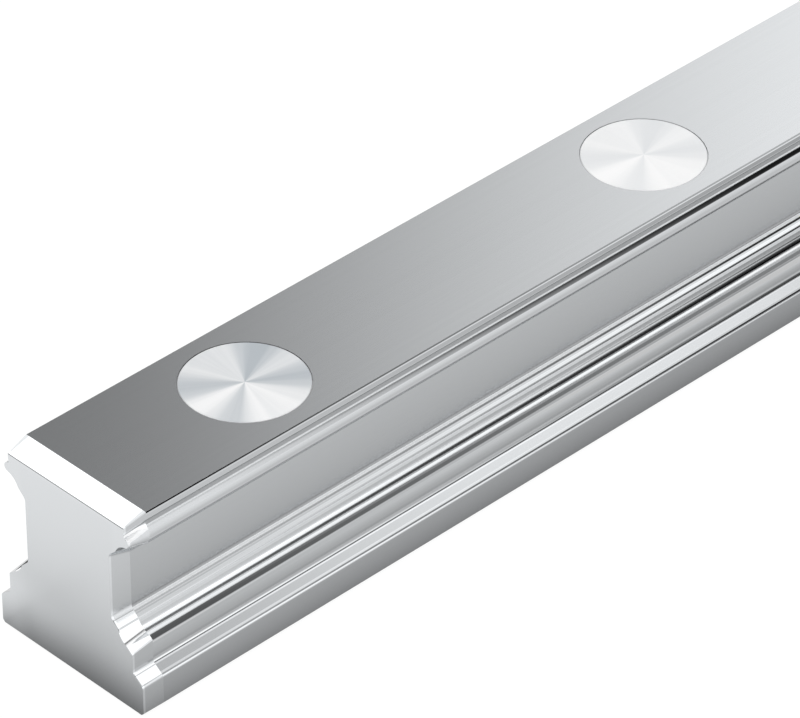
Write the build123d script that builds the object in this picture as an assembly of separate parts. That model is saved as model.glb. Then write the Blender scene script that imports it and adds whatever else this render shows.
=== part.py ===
# Ball rail: one bar of hourglass section with a line of mounting holes, each
# closed by a flush plug. Millimetres, length along X, up is Z, the underside on Z = 0.
from build123d import *
import os
from math import radians, tan

# Bar
base_width = 22.0
height = 24.05
hole_count = 8
hole_pitch = 60.0
end_distance = 25.0
length = (hole_count - 1) * hole_pitch + 2 * end_distance

# Section, as half widths from the middle plane and heights above the underside
base_side_top = 3.85
base_edge = 0.3
base_radius = 0.5
step_half = 9.55
step_bottom = 4.9
waist_half = 6.45
waist_radius = 0.8
bulge_half = 9.62
strip_half = 9.15
strip_height = 1.65
groove_depth = 0.2
groove_height = 0.35
top_edge = 0.08

# Raceways: the lower ones placed from the underside, the upper ones from the top
shoulder_half = 9.1
shoulder_height = 8.1
shoulder_depth = 4.05
shoulder_angle = 40
shoulder_edge = 0.12
kink_half = 7.45
kink_rise = 1.25
waist_rise = 1.0
raceway_radius = 2.1

# Lead-in ground on each end
lead_in = 2.8
lead_in_drop = 0.78
lead_in_side = 0.33
lead_in_groove = 0.14
lead_in_raceway = 0.4
lead_in_hollow = 0.85
lead_in_foot = 0.1
lead_in_flank = 0.05

# Mounting holes, from the top: plug seat, screw head, screw shank
seat_radius = 7.1
seat_depth = 2.2
head_radius = 5.5
head_depth = 11.3
shank_radius = 3.5
shank_chamfer = 0.4

# Plugs
plug_gap = 0.02
plug_edge = 0.3
plug_rim = 0.12


def section(x, ground=0):
    """Closed section on the plane at x, where ground is 1 with the whole lead-in cut and 0 with none."""
    drop, side, cut = ground * lead_in_drop, ground * lead_in_side, ground * lead_in_raceway
    hollow, flank, foot = ground * lead_in_hollow, ground * lead_in_flank, ground * lead_in_foot
    top = height - drop
    strip, groove = strip_half - side, groove_depth - ground * lead_in_groove
    notch = height - strip_height - drop / 2
    shoulder_low = (shoulder_half - cut, shoulder_height - cut / 2)
    shoulder_high = (shoulder_half - cut / 2, height - shoulder_depth + hollow)
    kink_low = (kink_half, shoulder_height + kink_rise)
    kink_high = (kink_half, shoulder_high[1] - kink_rise)
    base, step, waist = base_half - flank, step_half - flank, waist_half - flank
    step_top = shoulder_low[1] - (step - shoulder_low[0]) * tan(radians(shoulder_angle))
    waist_low, waist_high = kink_low[1] + waist_rise, kink_high[1] - waist_rise
    edges = [
        Polyline(
            (0, 0),
            (base - base_edge, 0),
            (base, base_edge),
            (base, base_side_top - foot),
            (step, step_bottom - foot),
            (step, step_top),
            shoulder_low,
        ),
        RadiusArc(kink_low, shoulder_low, -raceway_radius),
        Polyline(kink_low, (waist, waist_low), (waist, waist_high), kink_high),
        RadiusArc(kink_high, shoulder_high, raceway_radius),
        ThreePointArc(
            shoulder_high,
            (bulge_half - side / 2, (shoulder_high[1] + notch) / 2),
            (strip, notch),
        ),
        Polyline(
            (strip, notch),
            (strip - groove, notch + groove_height),
            (strip, notch + 2 * groove_height),
            (strip, top - top_edge),
            (strip - top_edge, top),
            (0, top),
        ),
    ]
    outline = Curve() + edges
    face = make_face(outline + mirror(outline, about=Plane.YZ))
    hollows = [v for v in face.vertices() if min(abs(v.Y - waist_low), abs(v.Y - waist_high)) < 0.001]
    face = fillet(hollows, waist_radius)
    foot_top, foot_low = step_bottom - foot, base_side_top - foot
    steps = [v for v in face.vertices() if min(abs(v.Y - foot_top), abs(v.Y - foot_low)) < 0.001]
    face = fillet(steps, base_radius)
    shoulders = [v for v in face.vertices() if abs(v.Y - step_top) < 0.001]
    face = fillet(shoulders, shoulder_edge)
    return Plane(origin=(x, 0, 0), x_dir=(0, 1, 0), z_dir=(1, 0, 0)) * face


base_half = base_width / 2
body_end = length / 2 - lead_in
rail = extrude(section(-body_end), amount=2 * body_end, dir=(1, 0, 0))
for end in (-1, 1):
    inner = section(end * body_end)
    outer = section(end * length / 2, ground=1)
    rail += loft([inner, outer], ruled=True)

hole_x = [(i - (hole_count - 1) / 2) * hole_pitch for i in range(hole_count)]
for x in hole_x:
    rail -= Pos(x, 0, height / 2) * Cylinder(shank_radius, 2 * height)
    rail -= Pos(x, 0, shank_chamfer / 2) * Cone(shank_radius + shank_chamfer, shank_radius, shank_chamfer)
    rail -= Pos(x, 0, height) * Cylinder(head_radius, 2 * head_depth)
    rail -= Pos(x, 0, height) * Cylinder(seat_radius, 2 * seat_depth)

disc = Cylinder(seat_radius - plug_gap, seat_depth)
disc = chamfer(disc.edges().sort_by(Axis.Z)[0], plug_edge)
disc = chamfer(disc.edges().sort_by(Axis.Z)[-1], plug_rim)

os.makedirs("parts", exist_ok=True)
export_step(rail, "parts/rail.step")
for i, x in enumerate(hole_x):
    plug = Pos(x, 0, height - seat_depth / 2) * disc
    export_step(plug, f"parts/plug_{i + 1}.step")
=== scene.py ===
# Dresses the steel guide rail: ground and turned steel finishes with painted highlights and
# shade, a white studio and the camera. Metres, the rail along X, its underside on Z = 0.
from types import SimpleNamespace

import bpy
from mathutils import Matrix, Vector


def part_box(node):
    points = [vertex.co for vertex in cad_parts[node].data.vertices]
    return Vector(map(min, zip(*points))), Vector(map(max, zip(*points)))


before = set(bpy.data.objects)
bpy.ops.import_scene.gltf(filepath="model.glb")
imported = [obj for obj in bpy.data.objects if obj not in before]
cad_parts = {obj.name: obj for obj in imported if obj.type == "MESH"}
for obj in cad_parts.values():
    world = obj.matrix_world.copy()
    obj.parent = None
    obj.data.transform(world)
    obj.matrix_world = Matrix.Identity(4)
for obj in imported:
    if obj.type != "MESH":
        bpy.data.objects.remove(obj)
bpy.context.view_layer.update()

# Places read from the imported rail
RAIL_LOW, RAIL_HIGH = (Vector(corner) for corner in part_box("rail"))
PLUG_LOW, PLUG_HIGH = (Vector(corner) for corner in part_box("plug_1"))
NEXT_PLUG_LOW = Vector(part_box("plug_2")[0])
HALF_LENGTH = RAIL_HIGH.x
TOP = RAIL_HIGH.z
PLUG_RADIUS = (PLUG_HIGH.x - PLUG_LOW.x) / 2
FIRST_HOLE = (PLUG_LOW.x + PLUG_HIGH.x) / 2
PITCH = NEXT_PLUG_LOW.x - PLUG_LOW.x

# Camera: its place, the point it looks at, and its focal length on the sensor, both in mm
CAMERA_AT = Vector((-0.53244, -0.35282, 0.37782))
CAMERA_AIM = Vector((-0.18418, 0.00333, 0.012))
CAMERA_LENS = 257.49
SENSOR_WIDTH = 36.0
CAMERA_CLIP = 0.01


class Nodes:
    """Short calls for building one node tree."""

    def __init__(self, tree):
        self.tree = tree

    def add(self, kind, **values):
        node = self.tree.nodes.new(kind)
        for name, value in values.items():
            setattr(node, name, value)
        return node

    def link(self, source, target):
        self.tree.links.new(source, target)

    def feed(self, socket, value):
        if isinstance(value, bpy.types.NodeSocket):
            self.link(value, socket)
        else:
            socket.default_value = value

    def math(self, operation, *values):
        node = self.add("ShaderNodeMath", operation=operation)
        for socket, value in zip(node.inputs, values):
            self.feed(socket, value)
        return node.outputs[0]

    def product(self, first, *others):
        for other in others:
            first = self.math("MULTIPLY", first, other)
        return first

    def inverse(self, value):
        return self.math("SUBTRACT", 1.0, value)

    def ramp(self, value, low, high, out_low=0.0, out_high=1.0, smooth=True):
        node = self.add("ShaderNodeMapRange", interpolation_type="SMOOTHSTEP" if smooth else "LINEAR")
        span = {"From Min": low, "From Max": high, "To Min": out_low, "To Max": out_high}
        for name, number in span.items():
            node.inputs[name].default_value = number
        self.feed(node.inputs["Value"], value)
        return node.outputs["Result"]

    def above(self, value, level, soft):
        """1 above the level and 0 below it, with a soft edge of that half width."""
        return self.ramp(value, level - soft, level + soft)

    def below(self, value, level, soft):
        return self.ramp(value, level - soft, level + soft, 1.0, 0.0)

    def between(self, value, low, high, soft):
        return self.product(self.above(value, low, soft), self.below(value, high, soft))

    def share(self, mask, amount):
        """1 where the mask is 0, the amount where the mask is 1."""
        return self.ramp(mask, 0.0, 1.0, 1.0, amount, smooth=False)

    def vector(self, operation, *values):
        node = self.add("ShaderNodeVectorMath", operation=operation)
        for socket, value in zip(node.inputs, values):
            self.feed(socket, value)
        return node.outputs["Value" if operation == "LENGTH" else "Vector"]

    def scaled(self, vector, factor):
        node = self.add("ShaderNodeVectorMath", operation="SCALE")
        node.inputs[0].default_value = vector
        self.link(factor, node.inputs["Scale"])
        return node.outputs["Vector"]

    def combine(self, x, y=0.0):
        node = self.add("ShaderNodeCombineXYZ")
        self.feed(node.inputs[0], x)
        self.feed(node.inputs[1], y)
        return node.outputs[0]

    def axes(self, vector):
        node = self.add("ShaderNodeSeparateXYZ")
        self.link(vector, node.inputs[0])
        return node.outputs

    def place(self, system="Object"):
        return self.add("ShaderNodeTexCoord").outputs[system]

    def mix(self, factor, first, second):
        node = self.add("ShaderNodeMix", data_type="RGBA")
        self.feed(node.inputs["Factor"], factor)
        self.feed(node.inputs["A"], first)
        self.feed(node.inputs["B"], second)
        return node.outputs["Result"]

    def noise(self, vector, scale, detail=2.0, roughness=0.6):
        node = self.add("ShaderNodeTexNoise")
        self.link(vector, node.inputs["Vector"])
        node.inputs["Scale"].default_value = scale
        node.inputs["Detail"].default_value = detail
        node.inputs["Roughness"].default_value = roughness
        return node.outputs["Fac"]

    def bump(self, height, strength, distance, normal=None):
        node = self.add("ShaderNodeBump")
        self.link(height, node.inputs["Height"])
        self.feed(node.inputs["Strength"], strength)
        node.inputs["Distance"].default_value = distance
        if normal is not None:
            self.link(normal, node.inputs["Normal"])
        return node.outputs[0]


def material(name):
    """New material, its node helper and its principled shader."""
    made = bpy.data.materials.new(name)
    made.use_nodes = True
    return made, Nodes(made.node_tree), made.node_tree.nodes["Principled BSDF"]


# The rail's finish, in mm. A tone is a brightness beside the plain steel, which is 1; most tones here are
# painted highlights and shade.
STEEL = (0.655, 0.672, 0.686)
STEEL_LIMIT = (0.95, 0.96, 0.97)
RAIL_TOP = TOP * 1000
LEAD_IN = 2.8
SOFT = 0.03

# The tones change along the bar, over this stretch measured from its end
NEAR_END, ALONG_BODY = 10.0, 95.0

# Bands of the section, with painted highlights and shade: bottom and top, tone near an end and along the
# body, added roughness
PAINTED_LIGHT_BANDS = {
    "base": (-0.1, 3.66, 0.99, 0.92, 0.0),
    "base_arris": (3.66, 3.87, 1.35, 1.30, 0.0),
    "slope2_foot": (3.91, 4.02, 0.42, 0.03, 0.0),
    "slope2_low": (4.04, 4.12, 0.75, 0.62, 0.0),
    "slope2": (4.14, 4.68, 0.54, 0.82, 0.0),
    "slope2_high": (4.70, 4.76, 0.85, 0.90, 0.0),
    "slope2_head": (4.78, 4.87, 0.20, 0.15, 0.0),
    "step_foot": (4.89, 5.08, 1.45, 0.20, 0.0),
    "step_line": (5.14, 5.36, 1.45, 1.45, 0.0),
    "step_low": (5.40, 5.72, 0.93, 0.95, 0.0),
    "step": (5.74, 7.34, 1.05, 1.05, 0.0),
    "step_edge": (7.36, 7.62, 1.45, 0.80, 0.0),
    "shoulder_low": (7.69, 7.96, 0.17, 0.45, 0.3),
    "shoulder_high": (7.96, 8.10, 0.19, 0.95, 0.3),
    "race_lip": (8.12, 8.22, 1.15, 1.45, 0.0),
    "race_core": (8.23, 8.34, 0.80, 0.0, 0.0),
    "race_low": (8.35, 8.50, 1.10, 0.28, 0.0),
    "race_glint": (8.52, 8.66, 1.05, 0.60, 0.0),
    "race_mid": (8.68, 8.95, 1.00, 0.70, 0.2),
    "race_high": (8.96, 9.26, 1.15, 1.30, 0.3),
    "kink": (9.27, 9.42, 0.92, 0.12, 0.0),
    "slope1": (9.44, 9.82, 0.74, 1.25, 0.0),
    "slope1_line": (9.84, 10.00, 0.70, 0.05, 0.0),
    "hollow_line": (10.02, 10.28, 1.45, 1.45, 0.35),
    "hollow": (10.29, 10.70, 0.57, 0.61, 0.0),
    "waist": (10.75, 17.60, 0.94, 0.94, 0.0),
    "bulge_foot": (19.90, 20.33, 0.80, 0.78, 0.0),
    "bulge_low": (20.35, 20.60, 0.76, 0.77, 0.0),
    "bulge_line": (20.66, 21.02, 1.20, 1.20, 0.0),
    "bulge": (21.20, 21.80, 0.94, 0.90, 0.0),
    "bulge_high": (21.82, 22.28, 0.95, 0.08, 0.0),
    "groove_line": (22.31, 22.44, 1.30, 1.40, 0.3),
    "groove": (22.46, 23.12, 0.74, 0.72, 0.4),
    "strip": (23.18, 23.69, 0.94, 0.60, 0.0),
    "strip_line": (23.70, 23.85, 1.10, 1.35, 0.0),
}

# Thin painted dark lines of shade along the lead-ins: bottom and top at the inner end, how far
# they sink towards the outer end, and tone
LEAD_SHADE_LINES = {
    "slope2_foot": (3.93, 4.00, 0.10, 0.50),
    "slope2_head": (4.66, 4.73, 0.10, 0.50),
    "kink": (9.26, 9.44, 0.0, 0.60),
    "slope1_head": (10.04, 10.11, 0.0, 0.55),
    "strip_foot": (22.66, 22.86, 0.39, 0.50),
}

# Slopes of the foot and above the lower raceway, from bottom to top
LOW_SLOPE = (3.90, 4.80)
HIGH_SLOPE = (9.05, 10.15)

# Light that grows up the step's upright side, in tone near an end and along the body
STEP_LIGHT = (5.8, 7.1)
STEP_LIGHT_TOP = 7.34
STEP_LIGHT_TONE = (0.1, 0.6)

# What the lead-in has beyond plain steel, a painted highlight: tone all over, more on its sloped
# faces, which lie within this half width, and less on its top strip, which starts at this foot
LEAD_HIGHLIGHT = 0.1
LEAD_SLOPE_HIGHLIGHT = 0.4
LEAD_FLANK = 9.42
LEAD_STRIP_FOOT, LEAD_STRIP_SIDE = 22.53, 8.65
LEAD_STRIP_CUT = 1.45

# Painted highlight along the lead-in's outer end and a painted dark line on its slopes there: reach and
# tone
LEAD_EDGE = 0.29
LEAD_EDGE_HIGHLIGHT = 0.3
LEAD_END = (0.08, 0.13)
LEAD_END_SHADE = 0.3

# Nose of the lead-in, blurred, and the pocket below it, darker with painted shade: heights and
# smallest or largest half width
NOSE, NOSE_SIDE = (20.4, 22.3), 8.7
NOSE_ROUGHNESS = 0.25
POCKET, POCKET_SIDE = (19.3, 20.7), 8.5
POCKET_SHADE = 0.25

# End face, painted reflections: a painted dark rim below the top, painted light towards the far
# side's foot, painted shade along its own foot. Each has its limits across and up, and its tone.
FACE_RIM = 0.90
FACE_RIM_SHADE = 0.3
FACE_LIGHT_ACROSS, FACE_LIGHT_UP = (-4.0, 10.0), (3.0, 10.0)
FACE_LIGHT_TONE = 0.35
FACE_FOOT_ACROSS, FACE_FOOT_UP = (6.0, 9.5), (0.0, 6.5)
FACE_FOOT_SHADE = -0.24

# Painted dark line along the top edge: its limits below the top, and its cut near an end and along the
# body
ARRIS_LOW, ARRIS_HIGH = 0.17, 0.006
ARRIS_CUT = (0.99, 0.35)

# Drawn lines along the bar, stronger on the slope, and grain
LINE_STRETCH = (0.15, 1000.0, 1000.0)
LINE_SCALE, LINE_DETAIL = 7.0, 3.0
LINE_TONE = 0.012
LINE_DEPTH, LINE_STRENGTH = 0.00002, 0.02
LINED_SLOPE = (9.35, 10.35)
SLOPE_LINES = 9.0
GRAIN_SCALE = 9000.0
GROUND_ROUGHNESS = 0.11
WAIST_ROUGHNESS = 0.2
GRAIN_ROUGHNESS = 0.01

# Smooth top, ground flanks: how far the top's finish reaches down, and the waist's half width
TOP_REACH = 1.4
WAIST_SIDE = 7.0

# Lip of the lower raceway, rounded by a bump: heights, half widths and depth
LIP = (8.08, 8.24)
LIP_SIDES = (8.4, 9.4)
LIP_DEPTH = -0.59


def rail_places(n):
    """Where a point of the rail lies, in mm, and how far it is in each zone, from 0 to 1."""
    at = SimpleNamespace(place=n.place())
    x, at.y, at.z = n.axes(n.vector("MULTIPLY", at.place, (1000.0, 1000.0, 1000.0)))
    at.side = n.math("ABSOLUTE", at.y)
    at.from_end = n.math("SUBTRACT", HALF_LENGTH * 1000, n.math("ABSOLUTE", x))
    at.along = n.ramp(at.from_end, NEAR_END, ALONG_BODY, smooth=False)
    at.body = n.above(at.from_end, LEAD_IN, SOFT)
    at.face = n.ramp(at.from_end, 0.01, 0.02, 1.0, 0.0)
    at.lead = n.product(n.inverse(at.body), n.inverse(at.face))
    at.near_top = n.above(at.z, RAIL_TOP - TOP_REACH, 0.2)
    at.off_waist = n.math("MAXIMUM", n.above(at.side, WAIST_SIDE, 0.2), at.near_top)
    return at


def body_bands(n, at, rough):
    """Painted highlights and shade, and roughness, of the bands along the body, with painted light growing
    up the step.
    """
    tone = 1.0
    for low, high, by_end, on_body, added_rough in PAINTED_LIGHT_BANDS.values():
        band = n.product(n.between(at.z, low, high, SOFT), at.body)
        shine = n.ramp(at.along, 0.0, 1.0, by_end - 1.0, on_body - 1.0, smooth=False)
        tone = n.math("MULTIPLY_ADD", band, shine, tone)
        if added_rough:
            rough = n.math("MULTIPLY_ADD", band, added_rough, rough)
    light = n.product(n.ramp(at.z, *STEP_LIGHT), n.below(at.z, STEP_LIGHT_TOP, SOFT), at.body)
    strength = n.ramp(at.along, 0.0, 1.0, *STEP_LIGHT_TONE, smooth=False)
    return n.math("MULTIPLY_ADD", light, strength, tone), rough


def lead_in_shine(n, at, tone, rough):
    """Tone and roughness with the ground lead-in added: slopes brightened by a painted highlight, thin
    painted dark lines, a blurred nose and painted shade in the pocket below it.
    """
    low_slope = n.between(at.z, *LOW_SLOPE, 0.05)
    sloped = n.product(at.off_waist, n.math("MAXIMUM", n.below(at.side, LEAD_FLANK, 0.02), low_slope))
    strip = n.product(n.above(at.z, LEAD_STRIP_FOOT, SOFT), n.above(at.side, LEAD_STRIP_SIDE, 0.05))
    sloped = n.math("SUBTRACT", sloped, n.product(strip, LEAD_STRIP_CUT))
    added = n.math("MULTIPLY_ADD", sloped, LEAD_SLOPE_HIGHLIGHT, LEAD_HIGHLIGHT)
    tone = n.math("MULTIPLY_ADD", at.lead, added, tone)
    edge = n.product(at.lead, n.below(at.from_end, LEAD_EDGE, 0.07))
    tone = n.math("MULTIPLY_ADD", edge, LEAD_EDGE_HIGHLIGHT, tone)

    sunk = n.ramp(at.from_end, 0.0, LEAD_IN, 1.0, 0.0, smooth=False)
    for low, high, sink, line_tone in LEAD_SHADE_LINES.values():
        level = n.math("MULTIPLY_ADD", sunk, sink, at.z)
        line = n.product(n.between(level, low, high, SOFT), at.lead)
        tone = n.product(tone, n.share(line, line_tone))
    slopes = n.math("MAXIMUM", low_slope, n.between(at.z, *HIGH_SLOPE, 0.05))
    end_line = n.product(slopes, n.ramp(at.from_end, *LEAD_END, 1.0, 0.0), at.lead)
    tone = n.product(tone, n.share(end_line, LEAD_END_SHADE))

    nose = n.product(n.between(at.z, *NOSE, 0.1), n.above(at.side, NOSE_SIDE, 0.1), at.lead)
    rough = n.math("MULTIPLY_ADD", nose, NOSE_ROUGHNESS, rough)
    pocket = n.product(n.between(at.z, *POCKET, 0.1), n.below(at.side, POCKET_SIDE, 0.1), at.lead)
    return n.product(tone, n.ramp(pocket, 0.0, 1.0, 1.0, POCKET_SHADE)), rough


def end_edges(n, at, tone):
    """Tone with the end face's painted dark rim, painted light corner and painted shaded foot, and a
    painted dark line along the top edge.
    """
    rim = n.product(at.face, n.above(at.z, RAIL_TOP - FACE_RIM, 0.04))
    tone = n.product(tone, n.ramp(rim, 0.0, 1.0, 1.0, FACE_RIM_SHADE))
    light = n.product(n.ramp(at.y, *FACE_LIGHT_ACROSS), n.ramp(at.z, *FACE_LIGHT_UP, 1.0, 0.0), at.face)
    tone = n.product(tone, n.math("MULTIPLY_ADD", light, FACE_LIGHT_TONE, 1.0))
    foot = n.product(n.ramp(at.y, *FACE_FOOT_ACROSS, 1.0, 0.0), n.ramp(at.z, *FACE_FOOT_UP, 1.0, 0.0))
    tone = n.product(tone, n.math("MULTIPLY_ADD", n.product(foot, at.face), FACE_FOOT_SHADE, 1.0))
    line = n.above(at.z, RAIL_TOP - ARRIS_LOW, 0.03)
    line = n.product(line, n.below(at.z, RAIL_TOP - ARRIS_HIGH, 0.004), at.body)
    cut = n.ramp(at.along, 0.0, 1.0, *ARRIS_CUT, smooth=False)
    return n.product(tone, n.inverse(n.product(line, cut)))


def rail_steel():
    """Bright ground steel: smooth top, finely lined side bands with painted highlights and shade, painted
    highlights on the lead-ins and painted light and shade at the end edges.
    """
    made, n, shader = material("rail_steel")
    at = rail_places(n)
    lines = n.noise(n.vector("MULTIPLY", at.place, LINE_STRETCH), LINE_SCALE, LINE_DETAIL)
    grain = n.noise(at.place, GRAIN_SCALE)
    rough = n.ramp(at.off_waist, 0.0, 1.0, WAIST_ROUGHNESS, GROUND_ROUGHNESS)
    rough = n.math("ADD", rough, n.ramp(grain, 0.3, 0.7, -GRAIN_ROUGHNESS, GRAIN_ROUGHNESS))

    tone, rough = body_bands(n, at, rough)
    tone, rough = lead_in_shine(n, at, tone, rough)
    tone = end_edges(n, at, tone)
    on_slope = n.product(n.between(at.z, *LINED_SLOPE, 0.05), at.body)
    depth = n.math("MULTIPLY_ADD", on_slope, SLOPE_LINES, 1.0)
    ribs = n.product(n.ramp(lines, 0.3, 0.7, -LINE_TONE, LINE_TONE), depth)
    tone = n.product(tone, n.math("ADD", 1.0, ribs))
    n.link(n.vector("MINIMUM", n.scaled(STEEL, tone), STEEL_LIMIT), shader.inputs["Base Color"])
    n.link(rough, shader.inputs["Roughness"])
    shader.inputs["Metallic"].default_value = 1.0

    drawn = n.bump(lines, n.product(n.inverse(at.near_top), at.off_waist, LINE_STRENGTH), LINE_DEPTH)
    on_lip = n.product(n.between(at.z, *LIP, 0.02), at.body)
    lip = n.ramp(at.side, *LIP_SIDES, 0.0, LIP_DEPTH, smooth=False)
    n.link(n.bump(lip, on_lip, 0.001, drawn), shader.inputs["Normal"])
    return made


# The plugs' turned finish and painted reflections: light and dark sectors of a disc turned across its
# face, four of them dark, strongest on the first plug
PLUG_SECTOR_SHADE = (0.465, 0.505, 0.54, 1)
PLUG_LIGHT = (1.0, 1.0, 1.0, 1)
PLUG_RING = (0.6, 0.6, 0.6, 1)
PLUG_RIM = (0.78, 0.79, 0.80, 1)
PLUG_METALLIC = 0.08
PLUG_ROUGHNESS = 0.33
PLUG_ANISOTROPY = 0.85
RIM_WIDTH = 0.00009
RING_SCALE = 6000.0
RING_STRENGTH = 0.01
RING_DEPTH = 0.00001
UNEVEN_SCALE, UNEVEN_DETAIL = 2.2, 3.0
UNEVEN_SHARE = 0.14
OTHER_PLUGS = 0.42

# How far from the bar's axis the painted dark sectors lie and how far they spread, in degrees, the
# light between them and their depth, and the same for the painted shade on the darker side of the disc
SECTOR_ANGLE, SECTOR_SPREAD = 34.0, 34.0
SECTOR_LIGHT, SECTOR_DEPTH = 0.74, 0.64
SHADED_SIDE, SHADED_SIDE_DEPTH = 41.0, 0.18


def plug_steel():
    """Turned steel: fine rings, and painted reflections: the light and dark sectors of a disc turned
    across its face and a painted shaded side.
    """
    made, n, shader = material("plug_steel")
    x, y, z = n.axes(n.place())
    from_first = n.math("SUBTRACT", x, FIRST_HOLE)
    local_x = n.math("WRAP", from_first, PITCH / 2, -PITCH / 2)
    flat = n.combine(local_x, y)
    radius = n.vector("LENGTH", flat)
    rings = n.noise(n.combine(radius), RING_SCALE)
    tangent = n.vector("NORMALIZE", n.vector("CROSS_PRODUCT", (0, 0, 1), flat))
    n.link(tangent, shader.inputs["Tangent"])

    angle = n.math("DEGREES", n.math("ARCTAN2", y, local_x))
    off_axis = n.math("ABSOLUTE", n.math("WRAP", angle, 90.0, -90.0))
    from_sector = n.math("ABSOLUTE", n.math("SUBTRACT", off_axis, SECTOR_ANGLE))
    beams = n.ramp(from_sector, 0.0, SECTOR_SPREAD, SECTOR_LIGHT - SECTOR_DEPTH, SECTOR_LIGHT)
    from_side = n.math("RADIANS", n.math("SUBTRACT", angle, SHADED_SIDE))
    beams = n.math("MULTIPLY_ADD", n.math("COSINE", from_side), -SHADED_SIDE_DEPTH, beams)
    uneven = n.noise(n.vector("NORMALIZE", flat), UNEVEN_SCALE, UNEVEN_DETAIL)
    beams = n.math("ADD", beams, n.ramp(uneven, 0.25, 0.75, -UNEVEN_SHARE, UNEVEN_SHARE))
    sectors = n.ramp(beams, 0.0, 1.0, 1.0, 0.0, smooth=False)
    sectors = n.product(sectors, n.ramp(from_first, PITCH * 0.4, PITCH * 0.6, 1.0, OTHER_PLUGS))
    sheen_and_rings = n.mix(n.inverse(sectors), PLUG_SECTOR_SHADE, PLUG_LIGHT)
    sheen_and_rings = n.mix(n.ramp(rings, 0.35, 0.65, 0.03, 0.0), sheen_and_rings, PLUG_RING)
    rim = n.above(radius, PLUG_RADIUS - RIM_WIDTH, 0.00005)
    n.link(n.mix(rim, sheen_and_rings, PLUG_RIM), shader.inputs["Base Color"])
    shader.inputs["Metallic"].default_value = PLUG_METALLIC
    shader.inputs["Roughness"].default_value = PLUG_ROUGHNESS
    shader.inputs["Anisotropic"].default_value = PLUG_ANISOTROPY
    n.link(n.bump(rings, RING_STRENGTH, RING_DEPTH), shader.inputs["Normal"])
    return made


# How the floor darkens towards the rail as the steel mirrors it: depth, reach past the end and beside
SHADES = ((0.60, 0.008, 0.026), (0.20, 0.006, 0.0025))
FLOOR_GLOW = 0.93
FLOOR_COLOUR = (0.12, 0.12, 0.12, 1)
FLOOR_REACH = 6.0
FLOOR_DROP = 0.0002


def floor_material():
    """White to the camera and in mirrors, a little darker in mirrors close to the rail."""
    made = bpy.data.materials.new("floor_white")
    made.use_nodes = True
    n = Nodes(made.node_tree)
    made.node_tree.nodes.remove(made.node_tree.nodes["Principled BSDF"])
    x, y, z = n.axes(n.place())
    past_end = n.math("MAXIMUM", n.math("SUBTRACT", n.math("ABSOLUTE", x), HALF_LENGTH), 0.0)
    beside = n.math("MAXIMUM", n.math("SUBTRACT", n.math("ABSOLUTE", y), RAIL_HIGH.y), 0.0)
    mirrored = 1.0
    for depth, reach_end, reach_side in SHADES:
        fade = n.math("ADD", n.math("DIVIDE", past_end, -reach_end), n.math("DIVIDE", beside, -reach_side))
        mirrored = n.math("SUBTRACT", mirrored, n.product(n.math("EXPONENT", fade), depth))
    path = n.add("ShaderNodeLightPath").outputs
    diffuse = n.add("ShaderNodeBsdfDiffuse")
    diffuse.inputs["Color"].default_value = FLOOR_COLOUR
    glow = n.add("ShaderNodeEmission")
    to_camera = n.product(path["Is Camera Ray"], FLOOR_GLOW)
    to_mirror = n.product(path["Is Glossy Ray"], mirrored)
    n.link(n.math("ADD", to_camera, to_mirror), glow.inputs["Strength"])
    both = n.add("ShaderNodeAddShader")
    n.link(diffuse.outputs[0], both.inputs[0])
    n.link(glow.outputs[0], both.inputs[1])
    n.link(both.outputs[0], made.node_tree.nodes["Material Output"].inputs["Surface"])
    return made


# Soft boxes of the studio: azimuth and elevation of the middle, half sizes, soft edges
# (degrees; azimuth counts from +X towards +Y) and strength
STUDIO_BASE = 0.1
STUDIO = [
    ((-81, 10), (27.5, 20), (6, 4), 1.05),
    ((-135, 12), (24, 17), (10, 6), 0.45),
    ((-76, 38), (36, 8), (4, 4), 1.05),
    ((-70, 52), (42, 6), (4, 4), 1.02),
    ((-38, 44), (9, 3), (4, 4), 0.95),
    ((-33, 47), (4, 5), (4, 4), 0.45),
    ((20, 44), (24.2, 17), (12.5, 6), 1.22),
    ((58, 38), (14, 12), (8, 8), 0.165),
    ((95, 32), (27, 14), (8, 8), 1.1),
    ((80, 56), (16, 10), (6, 4), 1.3),
    ((0, 75), (181, 9), (1, 8), 1.2),
    ((0, 90), (181, 10), (1, 4), 0.7),
    ((-14, 61), (24, 4), (8, 5), 0.3),
    ((-160, 50), (50, 10), (15, 8), 0.7),
    ((150, 25), (25, 18), (10, 10), 0.9),
    ((-172, 22), (18, 16), (10, 10), 0.5),
    ((-28, 15), (18, 12), (6, 8), 0.6),
    ((15, 16), (22, 9), (10, 6), 0.45),
]


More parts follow.
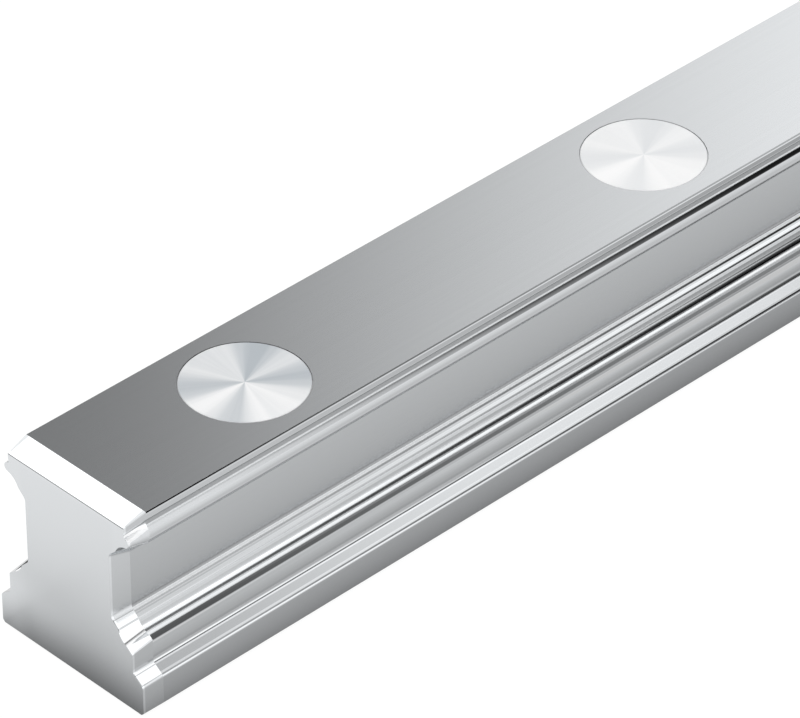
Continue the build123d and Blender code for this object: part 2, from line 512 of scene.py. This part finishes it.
def studio_world():
    """White to the camera and as plain light; soft boxes all round for the steel to mirror."""
    world = bpy.data.worlds.new("studio")
    world.use_nodes = True
    bpy.context.scene.world = world
    n = Nodes(world.node_tree)
    x, y, z = n.axes(n.place("Generated"))
    azimuth = n.math("DEGREES", n.math("ARCTAN2", y, x))
    elevation = n.math("DEGREES", n.math("ARCSINE", z))
    total = STUDIO_BASE
    for (turn, lift), (wide, high), (soft_wide, soft_high), strength in STUDIO:
        away = n.math("ABSOLUTE", n.math("WRAP", n.math("SUBTRACT", azimuth, turn), 180.0, -180.0))
        up = n.math("ABSOLUTE", n.math("SUBTRACT", elevation, lift))
        inside = n.product(n.below(away, wide, soft_wide / 2), n.below(up, high, soft_high / 2))
        total = n.math("MULTIPLY_ADD", inside, strength, total)
    path = n.add("ShaderNodeLightPath").outputs
    plain = n.math("MAXIMUM", path["Is Camera Ray"], path["Is Diffuse Ray"])
    level = n.math("MULTIPLY_ADD", n.inverse(plain), total, plain)
    background = world.node_tree.nodes["Background"]
    background.inputs["Color"].default_value = (1, 1, 1, 1)
    n.link(level, background.inputs["Strength"])


def add_floor():
    mesh = bpy.data.meshes.new("floor")
    corners = [(-1, -1), (1, -1), (1, 1), (-1, 1)]
    mesh.from_pydata([(FLOOR_REACH * x, FLOOR_REACH * y, 0) for x, y in corners], [], [(0, 1, 2, 3)])
    mesh.materials.append(floor_material())
    floor = bpy.data.objects.new("floor", mesh)
    floor.location.z = RAIL_LOW.z - FLOOR_DROP
    bpy.context.collection.objects.link(floor)


def add_camera():
    data = bpy.data.cameras.new("camera")
    data.lens = CAMERA_LENS
    data.sensor_width = SENSOR_WIDTH
    data.clip_start = CAMERA_CLIP
    camera = bpy.data.objects.new("camera", data)
    camera.location = CAMERA_AT
    camera.rotation_euler = (CAMERA_AIM - CAMERA_AT).to_track_quat("-Z", "Y").to_euler()
    bpy.context.collection.objects.link(camera)
    bpy.context.scene.camera = camera


def dress(node, finish):
    """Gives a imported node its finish."""
    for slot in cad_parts[node].material_slots:
        slot.material = finish


rail_finish = rail_steel()
plug_finish = plug_steel()
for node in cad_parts:
    dress(node, rail_finish if node == "rail" else plug_finish)

studio_world()
add_floor()
add_camera()
bpy.context.scene.view_settings.view_transform = "Standard"
